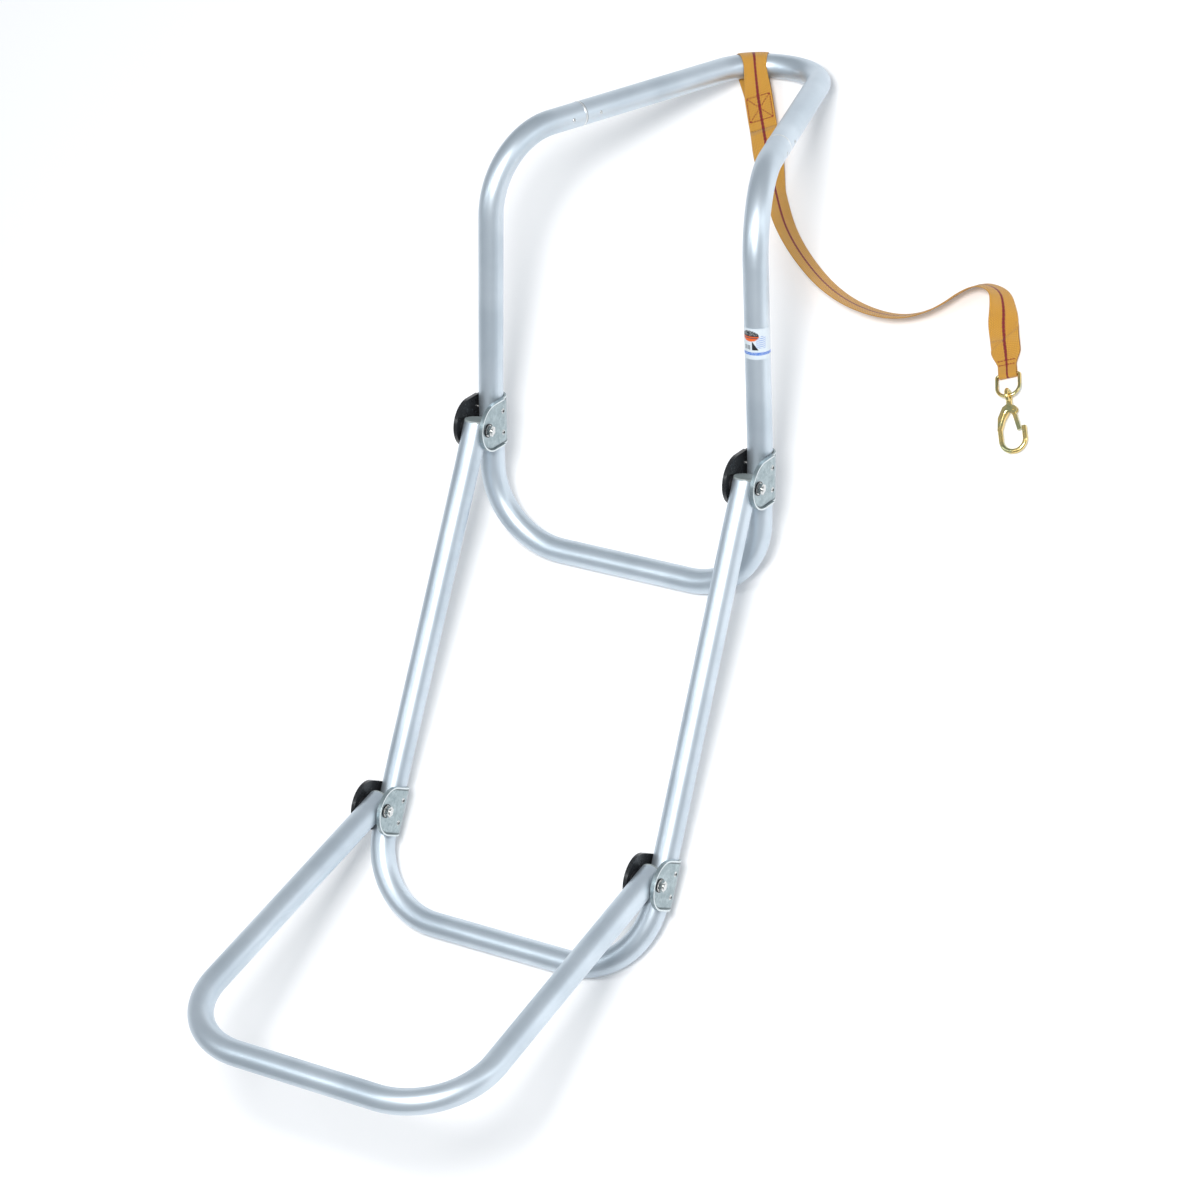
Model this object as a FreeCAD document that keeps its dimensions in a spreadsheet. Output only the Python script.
import FreeCAD, Part
import math
import os

V = FreeCAD.Vector
X_AXIS = V(1, 0, 0)
Y_AXIS = V(0, 1, 0)
Z_AXIS = V(0, 0, 1)

doc = FreeCAD.newDocument("folding_boarding_ladder")

# ---------------------------------------------------------------- driving dimensions
# Millimetres and degrees. The row lies along +Y, the rungs along X, the floor is Z = 0.
DIMENSIONS = [
    ("tube_radius", 12.5, "outer radius of every ladder tube"),
    ("tube_bore", 11.0, "inner radius of every ladder tube"),
    ("bend_radius", 80.0, "centreline bend radius at the rungs"),
    ("shoulder_radius", 80.0, "bend where an upright becomes a bow leg"),
    ("bow_corner_radius", 57.5, "bend at the ends of the bow's crossbar"),
    ("kink_radius", 500.0, "very slight bends of the sprung legs"),
    ("rung_width", 309.0, "distance between the upright centrelines"),
    ("upper_rung_y", 21.2, "place of the upper rung along the ladder"),
    ("upper_tilt", 38.2, "slope of the uprights above the floor"),
    ("upper_height", 422.0, "upper rung to the virtual shoulder corner"),
    ("hinge_height", 128.8, "upper rung to the upper pivots"),
    ("pivot_offset", 30.5, "pivot in front of the tube it is clamped to"),
    ("upright_narrowing", 7.7, "how far each upright leans inward at the top"),
    ("crossbar_lift", 0.4, "gap between the bow's crossbar and the floor"),
    ("bow_drop", 50.7, "slope of the bow down to the floor"),
    ("bow_converge", 17.0, "how fast each bow leg leans inward"),
    ("seam_distance", 116.0, "shoulder corner to the joint of frame and bow"),
    ("sleeve_half", 32.0, "half the length of the sleeve inside that joint"),
    ("middle_length", 492.5, "upper pivot to the middle rung"),
    ("lower_hinge_down", 392.5, "upper pivot to the lower pivot along the leg"),
    ("leg_spread", 3.4, "how far the middle legs spring outward"),
    ("lower_length", 359.5, "lower pivot to the lowest rung"),
    ("lower_tilt", 39.0, "slope of the raised lower section"),
    ("leg_end", 12.0, "pivot to the cut end of a lower leg"),
    ("slant_end", 8.8, "pivot to the middle of a middle leg's slanted end"),
    ("slant_angle", 16.0, "slant of that end, lower at its front"),
    ("plug_depth", 8.0, "how far an end plug reaches into its leg"),
    ("plug_lip", 1.6, "thickness of an end plug's visible disc"),
    ("plug_fit", 11.0, "radius of an end plug's spigot"),
    ("cheek_gap", 13.3, "hinge centreline to the inner face of a cheek"),
    ("cheek_thickness", 2.0, "sheet thickness of the hinge brackets"),
    ("cheek_height", 50.0, "height of a hinge bracket along its tube"),
    ("cheek_depth", 19.5, "tube centreline to the centre of the round front"),
    ("rim_height", 2.0, "how far the turned rim stands out"),
    ("rim_thickness", 1.8, "thickness of the turned rim"),
    ("liner_height", 46.0, "height of the plastic liner under a bracket"),
    ("rivet_radius", 2.0, "rivet shank"),
    ("rivet_head", 2.7, "rivet head radius"),
    ("rivet_rise", 0.9, "rivet head height"),
    ("rivet_spacing", 11.5, "rivet above and below the pivot"),
    ("rivet_back", -2.5, "rivet behind the tube's centreline"),
    ("bolt_radius", 3.0, "pivot bolt shank"),
    ("bolt_head", 5.6, "pivot bolt head radius"),
    ("bolt_head_height", 4.0, "pivot bolt head height"),
    ("nut_flats", 5.0, "half the width across the flats of a nut"),
    ("nut_height", 4.2, "lock nut height"),
    ("washer_radius", 7.0, "washer under a nut"),
    ("washer_height", 1.0, "washer thickness"),
    ("bolt_stub", 1.2, "bolt end standing out of its nut"),
    ("bush_radius", 4.5, "outer radius of a pivot bush"),
    ("bush_bore", 3.05, "bore of a pivot bush"),
    ("bush_flange", 7.5, "flange radius of a pivot bush"),
    ("bush_play", 0.15, "gap between a bush and a cheek"),
    ("label_height", 31.0, "height of the label on the right upright"),
    ("label_up", 268.0, "upper rung to the middle of the label"),
    ("label_thickness", 0.3, "thickness of the label"),
    ("web_thickness", 1.4, "one layer of the strap's webbing"),
    ("web_width", 30.0, "width of the webbing"),
    ("loop_start", 20.5, "where the bow loop starts round the corner"),
    ("loop_span", 29.0, "angle of the corner that the bow loop covers"),
    ("tab_length", 58.0, "sewn double webbing behind the bow loop"),
    ("tab_turn", 26.0, "direction of the sewn webbing from the row"),
    ("tab_dip", 5.0, "how far the sewn webbing points down"),
    ("end_turn", 23.0, "direction of the strap's end from the row"),
    ("end_x", 334.3, "ring bar, across the ladder"),
    ("end_y", 292.5, "ring bar, along the ladder"),
    ("end_z", 3.5, "ring bar above the floor"),
    ("end_tab", 38.0, "sewn double webbing at the ring"),
    ("end_narrow", 16.0, "webbing gathered to pass through the ring"),
    ("end_width", 19.0, "width of the gathered webbing"),
    ("ring_wire", 1.75, "radius of the ring's wire"),
    ("ring_bore", 1.85, "inside radius of the webbing round the ring"),
    ("ring_half_width", 11.6, "half the ring's bar"),
    ("ring_depth", 24.5, "bar to the ring's round side"),
    ("ring_tilt", 13.0, "how far the ring is lifted off the floor"),
    ("eye_radius", 6.0, "centreline radius of the snap hook's eye"),
    ("eye_wire", 2.0, "wire radius of the eye"),
    ("hook_wire", 2.4, "radius of the snap hook's bar"),
    ("hook_dip", 4.5, "how far the snap hook points down"),
    ("gate_half", 1.2, "half the thickness of the gate"),
    ("gate_width", 4.0, "width of the gate"),
    ("gate_length", 21.4, "gate rivet to the gate's end"),
    ("gate_lean", -10.6, "lean of the closed gate"),
    ("gate_pin", 1.0, "gate rivet radius"),
    ("gate_bore", 1.05, "gate bore radius"),
]

sheet = doc.addObject("Spreadsheet::Sheet", "Dimensions")
for row, (alias, value, note) in enumerate(DIMENSIONS, start=1):
    sheet.set(f"A{row}", alias)
    sheet.set(f"B{row}", str(value))
    sheet.set(f"C{row}", note)
    sheet.setAlias(f"B{row}", alias)
doc.recompute()


def dim(alias):
    """Value of one driving dimension."""
    return float(sheet.get(alias))


# ---------------------------------------------------------------- document helpers
def bind(obj, **expressions):
    """Bind properties of an object to spreadsheet cells."""
    for prop, expression in expressions.items():
        obj.setExpression(prop, expression.replace("@", "Dimensions."))
    return obj


def pin(name, radius, length, at, axis, lead="0"):
    """Cylinder of bound size whose start is moved along its axis by lead."""
    obj = bind(doc.addObject("Part::Cylinder", name), Radius=radius, Height=length)
    turn = FreeCAD.Rotation(Z_AXIS, axis)
    obj.Placement = FreeCAD.Placement(at + turn.multVec(V(0, 0, value_of(lead))), turn)
    return obj


def value_of(expression):
    """Number behind a spreadsheet expression, for places that are not bound."""
    names = {alias: dim(alias) for alias, _, _ in DIMENSIONS}
    total = 0.0
    for term in expression.replace("-", "+-").split("+"):
        term = term.strip()
        if not term:
            continue
        sign = -1.0 if term.startswith("-") else 1.0
        factor = 1.0
        for part in term.lstrip("-").split("*"):
            key = part.strip().lstrip("@")
            factor *= names[key] if key in names else float(key)
        total += sign * factor
    return total


def box(name, low, **size):
    """Box of bound size with its lowest corner at low."""
    obj = bind(doc.addObject("Part::Box", name), **size)
    obj.Placement = FreeCAD.Placement(low, FreeCAD.Rotation())
    return obj


def fuse(name, shapes):
    """Union of several objects."""
    obj = doc.addObject("Part::MultiFuse", name)
    obj.Shapes = shapes
    return obj


def common(name, shapes):
    """Intersection of several objects."""
    obj = doc.addObject("Part::MultiCommon", name)
    obj.Shapes = shapes
    return obj


def cut(name, base, tools):
    """Base minus every tool."""
    obj = doc.addObject("Part::Cut", name)
    obj.Base = base
    obj.Tool = tools[0] if len(tools) == 1 else fuse(name + "_tools", tools)
    return obj


def rounded_wire(points, radii):
    """Straight runs joined by tangent arcs, one radius for each inner point."""
    edges = []
    last = points[0]
    for before, corner, after, radius in zip(points, points[1:], points[2:], radii):
        back = (before - corner).normalize()
        ahead = (after - corner).normalize()
        half_turn = (math.pi - back.getAngle(ahead)) / 2
        reach = radius * math.tan(half_turn)
        middle = (back + ahead).normalize()
        start = corner + back * reach
        end = corner + ahead * reach
        top = corner + middle * (radius / math.cos(half_turn) - radius)
        edges.append(Part.LineSegment(last, start).toShape())
        edges.append(Part.Arc(start, top, end).toShape())
        last = end
    edges.append(Part.LineSegment(last, points[-1]).toShape())
    return Part.Wire(edges)


def path_object(name, wire):
    """Spine for a sweep: a wire along a bent centreline."""
    obj = doc.addObject("Part::Feature", name)
    obj.Shape = wire
    return obj


def swept_bar(name, wire, radius):
    """Round bar of bound radius swept along a wire."""
    spine = path_object(name + "_path", wire)
    first = wire.Edges[0]
    start = first.valueAt(first.FirstParameter)
    heading = first.tangentAt(first.FirstParameter)
    section = bind(doc.addObject("Part::Circle", name + "_section"), Radius=radius)
    section.Placement = FreeCAD.Placement(start, FreeCAD.Rotation(Z_AXIS, heading))
    obj = doc.addObject("Part::Sweep", name)
    obj.Sections = [section]
    obj.Spine = (spine, [f"Edge{i + 1}" for i in range(len(wire.Edges))])
    obj.Solid = True
    obj.Frenet = False
    return obj


def tube(name, wire, outer, inner, holes=()):
    """Hollow tube along a wire with drilled holes."""
    solid = swept_bar(name + "_outer", wire, outer)
    bore = swept_bar(name + "_inner", wire, inner)
    return cut(name, solid, [bore] + list(holes))


PARTS = []


def finish(obj, label, placement=None):
    """Give a finished sub-part its name and its place in the row's frame."""
    obj.Label = label
    if placement is not None:
        obj.Placement = placement.multiply(obj.Placement)
    PARTS.append(obj)
    return obj


def tilted(origin, angle):
    """Local frame whose Z axis points angle degrees above the row's +Y axis."""
    return FreeCAD.Placement(origin, FreeCAD.Rotation(X_AXIS, angle - 90))


# ---------------------------------------------------------------- frames of the three sections
RADIUS = dim("tube_radius")
HALF = dim("rung_width") / 2
OFFSET = dim("pivot_offset")
HINGE_UP = dim("hinge_height")
SPREAD = dim("leg_spread")
upper = tilted(V(0, dim("upper_rung_y"), RADIUS), dim("upper_tilt"))
upper_pivot = upper.multVec(V(0, -OFFSET, HINGE_UP))
middle_slope = math.degrees(math.asin((upper_pivot.z - RADIUS) / dim("middle_length")))
middle = tilted(upper_pivot, middle_slope)
lower_pivot = middle.multVec(V(0, -OFFSET, -dim("lower_hinge_down")))
lower = tilted(lower_pivot, -dim("lower_tilt"))

SIDES = (("left", -1), ("right", 1))


# ---------------------------------------------------------------- hinge hardware
def across(name, radius, length, at, lead="0"):
    """Pin along the hinge axis, centred on its length when lead is half of it."""
    return pin(name, radius, length, at, X_AXIS, lead)


def rivet_places(at):
    """The two rivet centres of a bracket whose tube centre is at."""
    back = dim("rivet_back")
    step = dim("rivet_spacing")
    return [at + V(0, back, sign * step) for sign in (-1, 1)]


def rivet_holes(name, at, reach="@cheek_gap + 2 * @cheek_thickness"):
    """Drills for the two rivets of one bracket."""
    length = f"2 * ({reach})"
    return [
        across(f"{name}_drill_{i}", "@rivet_radius", length, place,
               "-@cheek_gap - 2*@cheek_thickness")
        for i, place in enumerate(rivet_places(at))
    ]


def clamp_profile(name, at, gap, front, height):
    """U of a bracket seen along its tube: a half round back and two straight sides."""
    low = at + V(-value_of(gap), -front, -dim("cheek_height"))
    sides = box(name + "_sides", low, Length=f"2 * ({gap})", Height="2 * @cheek_height")
    sides.Width = front
    back = pin(name + "_back", gap, height, at, Z_AXIS, "-@cheek_height")
    return fuse(name, [sides, back])


def side_profile(name, at, radius, back):
    """D seen along the hinge axis: a round front and a straight back edge."""
    depth = dim("cheek_depth")
    size = value_of(radius)
    low = at + V(-40, -depth, -size)
    plate = box(name + "_plate", low, Height=f"2 * ({radius})")
    plate.Length = 80
    plate.Width = depth + back
    nose = pin(name + "_nose", radius, "80 mm", at + V(-40, -depth, 0), X_AXIS)
    return fuse(name, [plate, nose])


def hinge_bracket(label, at, placement):
    """One-piece U clamp with two D cheeks, turned rims, and holes for bolt and rivets."""
    reach = 80.0
    outer = clamp_profile(label + "_outer", at, "@cheek_gap + @cheek_thickness",
                          reach, "2 * @cheek_height")
    inner = clamp_profile(label + "_inner", at, "@cheek_gap", reach + 1, "2 * @cheek_height")
    sheet_u = cut(label + "_u", outer, [inner])
    outline = side_profile(label + "_outline", at, "@cheek_height * 0.5", 40.0)
    body = common(label + "_body", [sheet_u, outline])
    rim_outer = side_profile(label + "_rim_outer", at, "@cheek_height * 0.5", -2.0)
    rim_inner = side_profile(label + "_rim_inner", at,
                             "@cheek_height*0.5 - @rim_thickness", 8.0)
    rim_ring = cut(label + "_rim_ring", rim_outer, [rim_inner])
    low = at + V(-value_of("@cheek_gap+@cheek_thickness+@rim_height"), -70, -40)
    slab = box(label + "_rim_slab", low,
               Length="2 * (@cheek_gap + @cheek_thickness + @rim_height)")
    slab.Width = 80
    slab.Height = 80
    low = at + V(-value_of("@cheek_gap+@cheek_thickness"), -71, -41)
    core = box(label + "_rim_core", low, Length="2 * (@cheek_gap + @cheek_thickness)")
    core.Width = 82
    core.Height = 82
    rims = common(label + "_rims", [rim_ring, cut(label + "_rim_zone", slab, [core])])
    blank = fuse(label + "_blank", [body, rims])
    pivot = at + V(0, -OFFSET, 0)
    bore = across(label + "_bore", "@bolt_radius", "80 mm", pivot - X_AXIS * 40)
    bracket = cut(label, blank, [bore] + rivet_holes(label, at))
    return finish(bracket, label, placement)


def clamp_liner(label, at, placement):
    """Thin plastic half sleeve between a bracket and its tube."""
    sleeve = pin(label + "_sleeve", "@cheek_gap", "@liner_height", at, Z_AXIS,
                 "-0.5*@liner_height")
    core = pin(label + "_core", "@tube_radius", "@liner_height", at, Z_AXIS,
               "-0.5*@liner_height")
    front = box(label + "_front", at + V(-20, -20, -40), Length="40 mm")
    front.Width = 20
    front.Height = 80
    return finish(cut(label, sleeve, [core, front] + rivet_holes(label, at)), label, placement)


def rivets(label, at, placement):
    """Two through rivets with domed heads on the outer faces of the cheeks."""
    half = "@cheek_gap + @cheek_thickness"
    face = value_of("@cheek_gap+@cheek_thickness")
    for tag, place in zip(("low", "high"), rivet_places(at)):
        name = f"{label}_{tag}"
        shank = across(name + "_shank", "@rivet_radius", f"2 * ({half})", place,
                       "-@cheek_gap-@cheek_thickness")
        heads = []
        for side in (-1, 1):
            head = bind(doc.addObject("Part::Cone", f"{name}_head"), Radius1="@rivet_head",
                        Radius2="@rivet_head * 0.6", Height="@rivet_rise")
            turn = FreeCAD.Rotation(Z_AXIS, X_AXIS * side)
            head.Placement = FreeCAD.Placement(place + X_AXIS * side * face, turn)
            heads.append(head)
        finish(fuse(name, [shank] + heads), name, placement)


def pivot_bolt(label, at, placement):
    """Pivot bolt with a domed head on the outer-left face and a stub behind the nut."""
    pivot = at + V(0, -OFFSET, 0)
    face = value_of("@cheek_gap+@cheek_thickness")
    length = ("2 * (@cheek_gap + @cheek_thickness) + @washer_height"
              " + @nut_height + @bolt_stub")
    shank = across(label + "_shank", "@bolt_radius", length, pivot,
                   "-@cheek_gap-@cheek_thickness")
    head = bind(doc.addObject("Part::Cone", label + "_head"), Radius1="@bolt_head",
                Radius2="@bolt_head * 0.62", Height="@bolt_head_height")
    head.Placement = FreeCAD.Placement(pivot - X_AXIS * face,
                                       FreeCAD.Rotation(Z_AXIS, -X_AXIS))
    finish(fuse(label, [shank, head]), label, placement)


def lock_nut(label, at, placement):
    """Hexagon lock nut and its washer on the right-hand face."""
    pivot = at + V(0, -OFFSET, 0)
    face = value_of("@cheek_gap+@cheek_thickness")
    washer = across(label + "_washer", "@washer_radius", "@washer_height",
                    pivot + X_AXIS * face)
    nut = bind(doc.addObject("Part::Prism", label + "_hexagon"),
               Circumradius="@nut_flats / cos(30)", Height="@nut_height")
    nut.Polygon = 6
    nut.Placement = FreeCAD.Placement(pivot + X_AXIS * (face + dim("washer_height")),
                                      FreeCAD.Rotation(Z_AXIS, X_AXIS))
    bore = across(label + "_bore", "@bolt_radius", "20 mm", pivot + X_AXIS * (face - 2))
    finish(cut(label, fuse(label + "_blank", [washer, nut]), [bore]), label, placement)


def hinge_hardware(section, at, side, placement):
    """Everything clamped to one tube at one hinge."""
    hinge_bracket(f"hinge_bracket_{section}_{side}", at, placement)
    clamp_liner(f"clamp_liner_{section}_{side}", at, placement)
    rivets(f"rivet_{section}_{side}", at, placement)
    pivot_bolt(f"pivot_bolt_{section}_{side}", at, placement)
    lock_nut(f"lock_nut_{section}_{side}", at, placement)


def end_plug(label, at, placement):
    """Plug closing the cut end of a leg whose tube ends at the local height of the disc."""
    end = at + Z_AXIS * dim("leg_end")
    lip = pin(label + "_lip", "@tube_radius", "@plug_lip", end, Z_AXIS, "-@plug_lip")
    spigot = pin(label + "_spigot", "@plug_fit", "@plug_depth", end, Z_AXIS, "-@plug_depth")
    clearance = across(label + "_clearance", "@bush_radius", "60 mm", at - X_AXIS * 30)
    plug = cut(label, fuse(label + "_blank", [lip, spigot]), [clearance])
    finish(plug, label, placement)


def slanted_box(name, at, low, height):
    """Box whose floor lies low above the plane of a slanted leg end."""
    obj = box(name, V(0, 0, 0), Length="60 mm", Height=height)
    obj.Width = 60
    plane = FreeCAD.Placement(at + Z_AXIS * dim("slant_end"),
                              FreeCAD.Rotation(X_AXIS, dim("slant_angle")))
    obj.Placement = plane.multiply(FreeCAD.Placement(V(-30, -30, low), FreeCAD.Rotation()))
    return obj


def slanted_plug(label, at, placement):
    """Plug for a slanted leg end: a disc over the tube's wall and a spigot in its bore."""
    lip = dim("plug_lip")
    disc = common(label + "_disc", [
        pin(label + "_disc_round", "@tube_radius", "40 mm", at - Z_AXIS * 10, Z_AXIS),
        slanted_box(label + "_disc_slab", at, -lip, "@plug_lip"),
    ])
    spigot = cut(label + "_spigot", pin(label + "_spigot_round", "@plug_fit", "20 mm", at,
                                        Z_AXIS, "@slant_end - @plug_depth"),
                 [slanted_box(label + "_spigot_trim", at, -lip, "40 mm")])
    clearance = across(label + "_clearance", "@bush_radius", "60 mm", at - X_AXIS * 30)
    finish(cut(label, fuse(label + "_blank", [disc, spigot]), [clearance]), label, placement)


def pivot_bush(label, at, placement):
    """Flanged bush through both walls of a leg; the bolt turns in it."""
    half = "@cheek_gap - @bush_play"
    reach = dim("cheek_gap") - dim("bush_play")
    barrel = across(label + "_barrel", "@bush_radius", f"2 * ({half})", at,
                    "-@cheek_gap+@bush_play")
    flange_length = "@cheek_gap - @bush_play - @tube_radius"
    flanges = [
        across(label + "_flange", "@bush_flange", flange_length, at + X_AXIS * start)
        for start in (-reach, RADIUS)
    ]
    bore = across(label + "_bore", "@bush_bore", "60 mm", at - X_AXIS * 30)
    finish(cut(label, fuse(label + "_blank", [barrel] + flanges), [bore]), label, placement)


# ---------------------------------------------------------------- upper section
NARROW = dim("upright_narrowing")
shoulder_height = dim("upper_height")
shoulder = upper.multVec(V(0, 0, shoulder_height))
crossbar_z = RADIUS + dim("crossbar_lift")
bow_drop = math.radians(dim("bow_drop"))
bow_run = (shoulder.z - crossbar_z) / math.sin(bow_drop)
bow_in = bow_run * math.tan(math.radians(dim("bow_converge")))
crossbar = shoulder + V(0, math.cos(bow_drop), -math.sin(bow_drop)) * bow_run
top_half = HALF - NARROW
corner_half = top_half - bow_in


def shoulder_point(side):
    """Virtual corner between an upright and its bow leg."""
    return shoulder + X_AXIS * side * top_half


def crossbar_corner(side):
    """Virtual corner between a bow leg and the crossbar."""
    return crossbar + X_AXIS * side * corner_half


def seam_point(side):
    """Joint of frame and bow on one bow leg."""
    heading = (crossbar_corner(side) - shoulder_point(side)).normalize()
    return shoulder_point(side) + heading * dim("seam_distance")


def upright_points(side):
    """Centreline of one side of the upper frame from the seam to the rung corner."""
    straight = HINGE_UP + 32
    return [
        seam_point(side),
        shoulder_point(side),
        upper.multVec(V(side * HALF, 0, straight)),
        upper.multVec(V(side * HALF, 0, 0)),
    ]


upper_points = upright_points(-1) + upright_points(1)[::-1]
BEND = dim("bend_radius")
KINK = dim("kink_radius")
SHOULDER = dim("shoulder_radius")
upper_wire = rounded_wire(upper_points, [SHOULDER, KINK, BEND, BEND, KINK, SHOULDER])
bow_points = [seam_point(-1), crossbar_corner(-1), crossbar_corner(1), seam_point(1)]
bow_wire = rounded_wire(bow_points, [dim("bow_corner_radius")] * 2)


def bow_rivet_axis(side, along):
    """Start point and heading of a rivet through the bow joint."""
    heading = (crossbar_corner(side) - shoulder_point(side)).normalize()
    outward = (X_AXIS * side - heading * heading.dot(X_AXIS * side)).normalize()
    return seam_point(side) + heading * along, outward


def bow_rivet_drill(name, side, along):
    """Hole for one bow rivet, right through the tube."""
    place, outward = bow_rivet_axis(side, along)
    return pin(name, "@rivet_radius", "2 * @tube_radius + 2", place, outward,
               "-@tube_radius-1")


RIVET_ALONG = 18.0
upper_drills = []
for word, side in SIDES:
    hinge_at = V(side * HALF, 0, HINGE_UP)
    for drill in rivet_holes(f"upper_tube_{word}", hinge_at):
        drill.Placement = upper.multiply(drill.Placement)
        upper_drills.append(drill)
    upper_drills.append(bow_rivet_drill(f"upper_tube_{word}_seam", side, -RIVET_ALONG))
finish(tube("upper_frame", upper_wire, "@tube_radius", "@tube_bore", upper_drills),
       "upper_frame_tube")

bow_drills = [bow_rivet_drill(f"bow_{word}_drill", side, RIVET_ALONG) for word, side in SIDES]
finish(tube("bow", bow_wire, "@tube_radius", "@tube_bore", bow_drills), "bow_tube")

for word, side in SIDES:
    heading = (crossbar_corner(side) - shoulder_point(side)).normalize()
    name = f"bow_sleeve_{word}"
    sleeve = pin(name + "_outer", "@tube_bore", "2 * @sleeve_half", seam_point(side), heading,
                 "-@sleeve_half")
    bore = pin(name + "_inner", "@tube_bore - 1.4", "2 * @sleeve_half", seam_point(side),
               heading, "-@sleeve_half")
    drills = [bow_rivet_drill(f"{name}_drill_{i}", side, along)
              for i, along in enumerate((-RIVET_ALONG, RIVET_ALONG))]
    finish(cut(name, sleeve, [bore] + drills), name)
    for tag, along in (("frame", -RIVET_ALONG), ("bow", RIVET_ALONG)):
        label = f"bow_rivet_{tag}_{word}"
        place, outward = bow_rivet_axis(side, along)
        shank = pin(label + "_shank", "@rivet_radius", "2 * @tube_radius", place, outward,
                    "-@tube_radius")
        heads = []
        for way in (-1, 1):
            head = bind(doc.addObject("Part::Sphere", label + "_head"),
                        Radius="@rivet_head * 0.8")
            head.Placement.Base = place + outward * way * (RADIUS - 1.2)
            heads.append(head)
        ball_pair = fuse(label + "_heads", heads)
        tube_core = pin(label + "_core", "@tube_radius", "40 mm", place - heading * 20, heading)
        trimmed = cut(label + "_trimmed", ball_pair, [tube_core])
        finish(fuse(label, [shank, trimmed]), label)

for word, side in SIDES:
    hinge_hardware("upper", V(side * HALF, 0, HINGE_UP), word, upper)

kink_at = upper.multVec(V(HALF, 0, HINGE_UP + 32))
upright_heading = (shoulder_point(1) - kink_at).normalize()
label_centre = kink_at + upright_heading * (dim("label_up") - HINGE_UP - 32)
wrap = pin("label_wrap", "@tube_radius + @label_thickness", "@label_height", label_centre,
           upright_heading, "-0.5*@label_height")
wrap_core = pin("label_core", "@tube_radius", "@label_height", label_centre, upright_heading,
                "-0.5*@label_height")
label_back = box("label_back", V(-20, 4, -40), Length="40 mm")
label_back.Width = 20
label_back.Height = 80
label_turn = FreeCAD.Placement(label_centre, upper.Rotation)
label_back.Placement = label_turn.multiply(label_back.Placement)
finish(cut("label", wrap, [wrap_core, label_back]), "label_band")


# ---------------------------------------------------------------- middle section
MIDDLE = dim("middle_length")
HINGE_DOWN = dim("lower_hinge_down")
WIDE = HALF + SPREAD


def middle_leg(side):
    """Centreline of one middle leg, from past its cut end to the virtual rung corner."""
    return [
        V(side * HALF, 0, dim("slant_end") + 8),
        V(side * HALF, 0, -45),
        V(side * WIDE, 0, -HINGE_DOWN + 45),
        V(side * WIDE, 0, -MIDDLE),
    ]


def bush_drill(name, at):
    """Hole for a pivot bush through both walls of a leg."""
    return across(name, "@bush_radius", "40 mm", at - X_AXIS * 20)


middle_wire = rounded_wire(middle_leg(-1) + middle_leg(1)[::-1],
                           [KINK, KINK, BEND, BEND, KINK, KINK])
middle_drills = []
for word, side in SIDES:
    middle_drills.append(bush_drill(f"middle_{word}_bush_drill", V(side * HALF, 0, 0)))
    middle_drills += rivet_holes(f"middle_tube_{word}", V(side * WIDE, 0, -HINGE_DOWN))
    middle_drills.append(slanted_box(f"middle_{word}_end_trim", V(side * HALF, 0, 0),
                                     -dim("plug_lip"), "40 mm"))
finish(tube("middle_frame", middle_wire, "@tube_radius", "@tube_bore", middle_drills),
       "middle_frame_tube", middle)
for word, side in SIDES:
    slanted_plug(f"end_plug_middle_{word}", V(side * HALF, 0, 0), middle)
    pivot_bush(f"pivot_bush_middle_{word}", V(side * HALF, 0, 0), middle)
    hinge_hardware("lower", V(side * WIDE, 0, -HINGE_DOWN), word, middle)

# ---------------------------------------------------------------- lower section
LOWER = dim("lower_length")
lower_top = dim("leg_end") - dim("plug_lip")
lower_points = [V(-WIDE, 0, lower_top), V(-WIDE, 0, -LOWER), V(WIDE, 0, -LOWER),
                V(WIDE, 0, lower_top)]
lower_drills = [bush_drill(f"lower_{word}_bush_drill", V(side * WIDE, 0, 0))
                for word, side in SIDES]
finish(tube("lower_frame", rounded_wire(lower_points, [BEND, BEND]), "@tube_radius",
            "@tube_bore", lower_drills), "lower_frame_tube", lower)
for word, side in SIDES:
    end_plug(f"end_plug_lower_{word}", V(side * WIDE, 0, 0), lower)
    pivot_bush(f"pivot_bush_lower_{word}", V(side * WIDE, 0, 0), lower)

# ---------------------------------------------------------------- strap
WEB = dim("web_thickness")
WIDTH = dim("web_width")
CORNER = dim("bow_corner_radius")

# The bow loop follows the bend at the left end of the crossbar.
to_leg = (seam_point(-1) - crossbar_corner(-1)).normalize()
half_corner = (math.pi - to_leg.getAngle(X_AXIS)) / 2
corner_start = crossbar_corner(-1) + X_AXIS * CORNER * math.tan(half_corner)
inward = (to_leg - X_AXIS * to_leg.dot(X_AXIS)).normalize()
corner_centre = corner_start + inward * CORNER


def corner_point(angle):
    """Point of the crossbar's left bend, so many degrees from the crossbar."""
    turn = math.radians(angle)
    return corner_centre - X_AXIS * CORNER * math.sin(turn) - inward * CORNER * math.cos(turn)


loop_angles = [dim("loop_start") + dim("loop_span") * part for part in (0, 0.5, 1)]
loop_wire = Part.Wire([Part.Arc(*[corner_point(a) for a in loop_angles]).toShape()])
loop_outer = swept_bar("strap_loop_outer", loop_wire, "@tube_radius + @web_thickness")
loop_inner = swept_bar("strap_loop_inner", loop_wire, "@tube_radius")
loop_middle = corner_point(loop_angles[1])
tab_frame = FreeCAD.Placement(
    loop_middle,
    FreeCAD.Rotation(Z_AXIS, dim("tab_turn")).multiply(
        FreeCAD.Rotation(X_AXIS, dim("tab_dip"))),
)
tab = bind(doc.addObject("Part::Box", "strap_tab"), Length="@web_width",
           Width="@tab_length + @tube_radius", Height="2 * @web_thickness")
tab_start = V(-WIDTH / 2, -dim("tab_length") - RADIUS, -WEB)
tab.Placement = tab_frame.multiply(FreeCAD.Placement(tab_start, FreeCAD.Rotation()))
tab_tool = swept_bar("strap_tab_tool", bow_wire, "@tube_radius")
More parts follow.
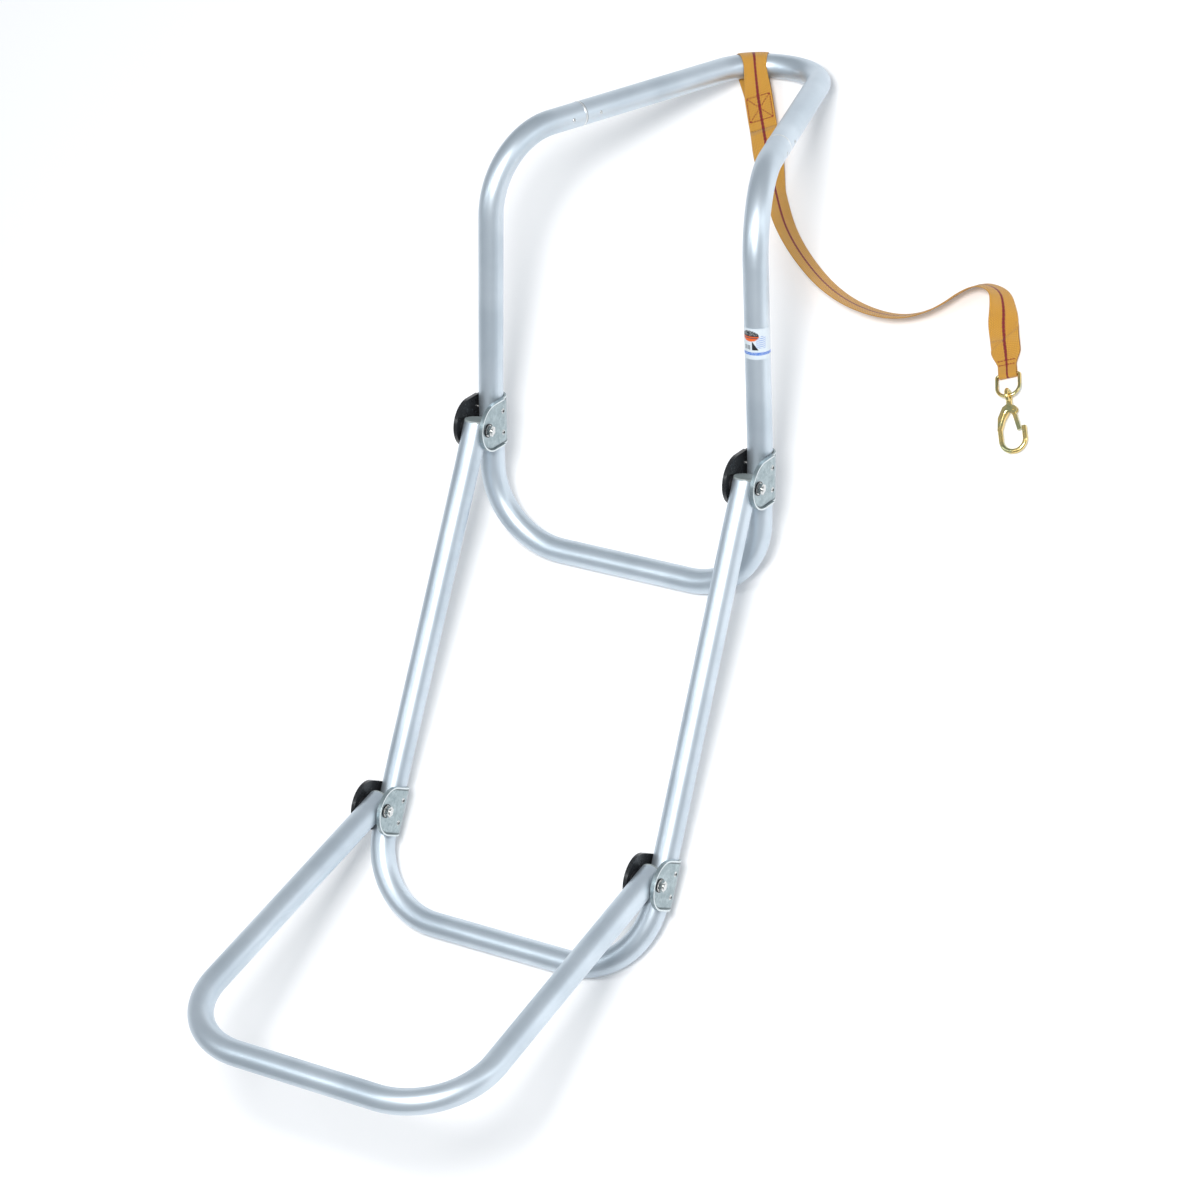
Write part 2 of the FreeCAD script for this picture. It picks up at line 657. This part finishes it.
finish(cut("strap_loop", fuse("strap_loop_blank", [loop_outer, tab]), [loop_inner, tab_tool]),
       "strap_bow_loop")
tab_end = tab_frame.multVec(V(0, -dim("tab_length") - RADIUS, 0))

# Free webbing: it turns on edge, runs round on the floor, and turns flat again.
EDGE_Z = WIDTH / 2 + 0.4
end_frame = FreeCAD.Placement(
    V(dim("end_x"), dim("end_y"), dim("end_z")),
    FreeCAD.Rotation(Z_AXIS, dim("end_turn")),
)
flat_end = end_frame.multVec(V(0, dim("end_tab"), 0))
ROUTE = [
    V(36, 421, EDGE_Z),
    V(74, 376, EDGE_Z),
    V(132, 336, EDGE_Z),
    V(194, 323, EDGE_Z),
    V(238, 336, EDGE_Z),
    V(274, 375, EDGE_Z),
    V(303, 374, EDGE_Z),
    V(312, 356, EDGE_Z),
]


def bend_radii(points):
    """Bend radius at each inner point: 0.45 of the shorter run over tan(half the turn)."""
    radii = []
    for before, corner, after in zip(points, points[1:], points[2:]):
        back = before - corner
        ahead = after - corner
        half_turn = (math.pi - back.getAngle(ahead)) / 2
        radii.append(0.45 * min(back.Length, ahead.Length) / math.tan(half_turn))
    return radii


def web_corners(place, over, heading):
    """Corners of the webbing's rectangle whose width lies along over."""
    across_web = (over - heading * heading.dot(over)).normalize()
    thin = heading.cross(across_web).normalize()
    return [
        place + across_web * (a * WIDTH / 2) + thin * (b * WEB / 2)
        for a, b in ((-1, -1), (1, -1), (1, 1), (-1, 1))
    ]


def web_twist(label, start, start_over, end, end_over, steps=6):
    """Webbing on a straight run that turns from one width direction to another."""
    heading = (end - start).normalize()
    total = start_over.getAngle(end_over)
    rings = []
    for i in range(steps + 1):
        part = i / steps
        over = (start_over * math.sin((1 - part) * total)
                + end_over * math.sin(part * total)) * (1 / math.sin(total))
        place = start + (end - start) * part
        place.z = max(place.z, EDGE_Z - WIDTH / 2 * (1 - over.z) + WEB / 2 * (1 - over.z))
        rings.append(web_corners(place, over, heading))
    faces = [Part.Face(Part.makePolygon(ring + ring[:1])) for ring in (rings[0], rings[-1])]
    for near, far in zip(rings, rings[1:]):
        for i in range(4):
            j = (i + 1) % 4
            faces.append(Part.makeRuledSurface(Part.makeLine(near[i], near[j]),
                                               Part.makeLine(far[i], far[j])))
    solid = Part.Solid(Part.Shell(faces))
    solid = solid if solid.Volume > 0 else solid.reversed()
    obj = doc.addObject("Part::Feature", label + "_solid")
    obj.Shape = solid
    return finish(obj, label)


first_heading = (ROUTE[1] - ROUTE[0]).normalize()
tab_over = tab_frame.Rotation.multVec(X_AXIS)
web_twist("strap_twist_upper", tab_end, tab_over, ROUTE[0], Z_AXIS)
route_wire = rounded_wire(ROUTE, bend_radii(ROUTE))
start_corners = web_corners(ROUTE[0], Z_AXIS, first_heading)
web_curve = doc.addObject("Part::Sweep", "strap_curve_sweep")
web_curve.Sections = [path_object("strap_curve_section",
                                  Part.makePolygon(start_corners + start_corners[:1]))]
web_curve.Spine = (path_object("strap_curve_path", route_wire),
                   [f"Edge{i + 1}" for i in range(len(route_wire.Edges))])
web_curve.Solid = True
finish(web_curve, "strap_curve")
end_over = end_frame.Rotation.multVec(-X_AXIS)
web_twist("strap_twist_lower", ROUTE[-1], Z_AXIS, flat_end, end_over)

GATHERED = dim("end_width")
end_tab = box("strap_end_tab", V(-WIDTH / 2, dim("end_narrow"), -WEB), Length="@web_width",
              Width="@end_tab - @end_narrow", Height="2 * @web_thickness")
end_neck = box("strap_end_neck", V(-GATHERED / 2, 0, -WEB), Length="@end_width",
               Width="@end_narrow", Height="2 * @web_thickness")
end_roll = across("strap_end_roll", "@ring_bore + @web_thickness", "@end_width",
                  V(-GATHERED / 2, 0, 0))
end_bore = across("strap_end_bore", "@ring_bore", "@end_width", V(-GATHERED / 2, 0, 0))
finish(cut("strap_end", fuse("strap_end_blank", [end_tab, end_neck, end_roll]), [end_bore]),
       "strap_end_loop", end_frame)

# ---------------------------------------------------------------- ring and snap hook
RING_HALF = dim("ring_half_width")
RING_DEPTH = dim("ring_depth")
ring_frame = end_frame.multiply(
    FreeCAD.Placement(V(0, 0, 0), FreeCAD.Rotation(X_AXIS, -dim("ring_tilt"))))
ring_points = [V(0, 0, 0), V(RING_HALF, 0, 0), V(RING_HALF, -RING_DEPTH, 0),
               V(-RING_HALF, -RING_DEPTH, 0), V(-RING_HALF, 0, 0), V(0, 0, 0)]
ring_wire = rounded_wire(ring_points, [2.0, 11.2, 11.2, 2.0])
finish(swept_bar("d_ring_bar", ring_wire, "@ring_wire"), "d_ring", ring_frame)

eye_centre = ring_frame.multVec(V(0, -RING_DEPTH, 0))
hook_frame = FreeCAD.Placement(
    eye_centre,
    FreeCAD.Rotation(Z_AXIS, dim("end_turn")).multiply(
        FreeCAD.Rotation(X_AXIS, dim("hook_dip"))),
)
EYE = dim("eye_radius")
eye = bind(doc.addObject("Part::Torus", "hook_eye"), Radius1="@eye_radius",
           Radius2="@eye_wire")
eye.Placement = FreeCAD.Placement(V(0, 0, 0), FreeCAD.Rotation(Z_AXIS, X_AXIS))
neck = pin("hook_neck", "@hook_wire + 0.6", "6 mm", V(0, -EYE, 0), -Y_AXIS)
BACK_X = -12.2
TIP_X = 12.2
hook_points = [V(0, -EYE - 5, 0), V(-6, -17, 0), V(BACK_X, -30, 0), V(BACK_X, -56.5, 0),
               V(TIP_X, -56.5, 0), V(TIP_X, -33, 0)]
hook_bar = swept_bar("hook_bar", rounded_wire(hook_points, [6, 14, 12, 12]), "@hook_wire")
thumb_outline = [V(-1, -8, -2), V(-6.8, -11, -2), V(-12.6, -21, -2), V(-14.4, -34, -2),
                 V(-10.2, -34, -2), V(-6.4, -24, -2), V(-1, -17, -2), V(-1, -8, -2)]
thumb = doc.addObject("Part::Feature", "hook_thumb_plate")
thumb.Shape = Part.Face(Part.makePolygon(thumb_outline)).extrude(Z_AXIS * 4)
gate_at = V(3.5, -15, 0)
boss = pin("hook_boss", "4.2 mm", "2 * @hook_wire", gate_at, Z_AXIS, "-@hook_wire")
bridge = box("hook_bridge", V(-3, -16, -dim("hook_wire")), Height="2 * @hook_wire")
bridge.Length = 6.5
bridge.Width = 6
slot = box("hook_slot", V(0.2, -30, -1.35), Length="20 mm")
slot.Width = 19.4
slot.Height = 2.7
pin_drill = pin("hook_pin_drill", "@gate_pin", "20 mm", gate_at - Z_AXIS * 10, Z_AXIS)
hook_blank = fuse("hook_blank", [eye, neck, hook_bar, boss, bridge, thumb])
finish(cut("hook", hook_blank, [slot, pin_drill]), "snap_hook_body", hook_frame)

gate_frame = hook_frame.multiply(
    FreeCAD.Placement(gate_at, FreeCAD.Rotation(Z_AXIS, -dim("gate_lean"))))
gate_root = pin("gate_root", "3.2 mm", "2 * @gate_half", V(0, 0, 0), Z_AXIS, "-@gate_half")
gate_bar = box("gate_bar", V(-dim("gate_width") / 2, -dim("gate_length"), -dim("gate_half")),
               Length="@gate_width", Width="@gate_length", Height="2 * @gate_half")
gate_hole = pin("gate_hole", "@gate_bore", "20 mm", V(0, 0, -10), Z_AXIS)
finish(cut("gate", fuse("gate_blank", [gate_root, gate_bar]), [gate_hole]),
       "snap_hook_gate", gate_frame)
gate_pin = pin("gate_pin_shank", "@gate_pin", "2 * @hook_wire + 0.6", gate_at, Z_AXIS,
               "-@hook_wire-0.3")
finish(gate_pin, "snap_hook_pin", hook_frame)

# ---------------------------------------------------------------- checks and export
doc.recompute()
broken = [o.Name for o in doc.Objects if "Invalid" in o.State or "Error" in o.State]
if broken:
    raise SystemExit(f"objects in error: {broken}")
for part in PARTS:
    shape = part.Shape
    if shape.isNull() or not shape.isValid() or len(shape.Solids) != 1:
        raise SystemExit(f"{part.Label}: bad shape with {len(shape.Solids)} solids")

route_length = route_wire.Length
swept_volume = web_curve.Shape.Volume
print("strap bends", [round(r, 1) for r in bend_radii(ROUTE)])
print("strap length", round(route_length, 1), "volume ratio",
      round(swept_volume / (route_length * WIDTH * WEB), 4))
print("pivots", upper_pivot, lower_pivot, "middle slope", middle_slope)
print("strap starts", tab_end, "ends", flat_end, "eye", eye_centre, "gate", gate_frame.Base)

os.makedirs("parts", exist_ok=True)
for part in PARTS:
    part.Shape.exportStep(f"parts/{part.Label}.step")
    size = part.Shape.optimalBoundingBox(False, False)
    print(part.Label, round(part.Shape.Volume), [round(v, 1) for v in (
        size.XMin, size.YMin, size.ZMin, size.XMax, size.YMax, size.ZMax)])
print(len(PARTS), "parts")

lowest = min(part.Shape.optimalBoundingBox(False, False).ZMin for part in PARTS)
if lowest < -0.05:
    raise SystemExit(f"a part reaches {lowest:.2f} mm below the floor")
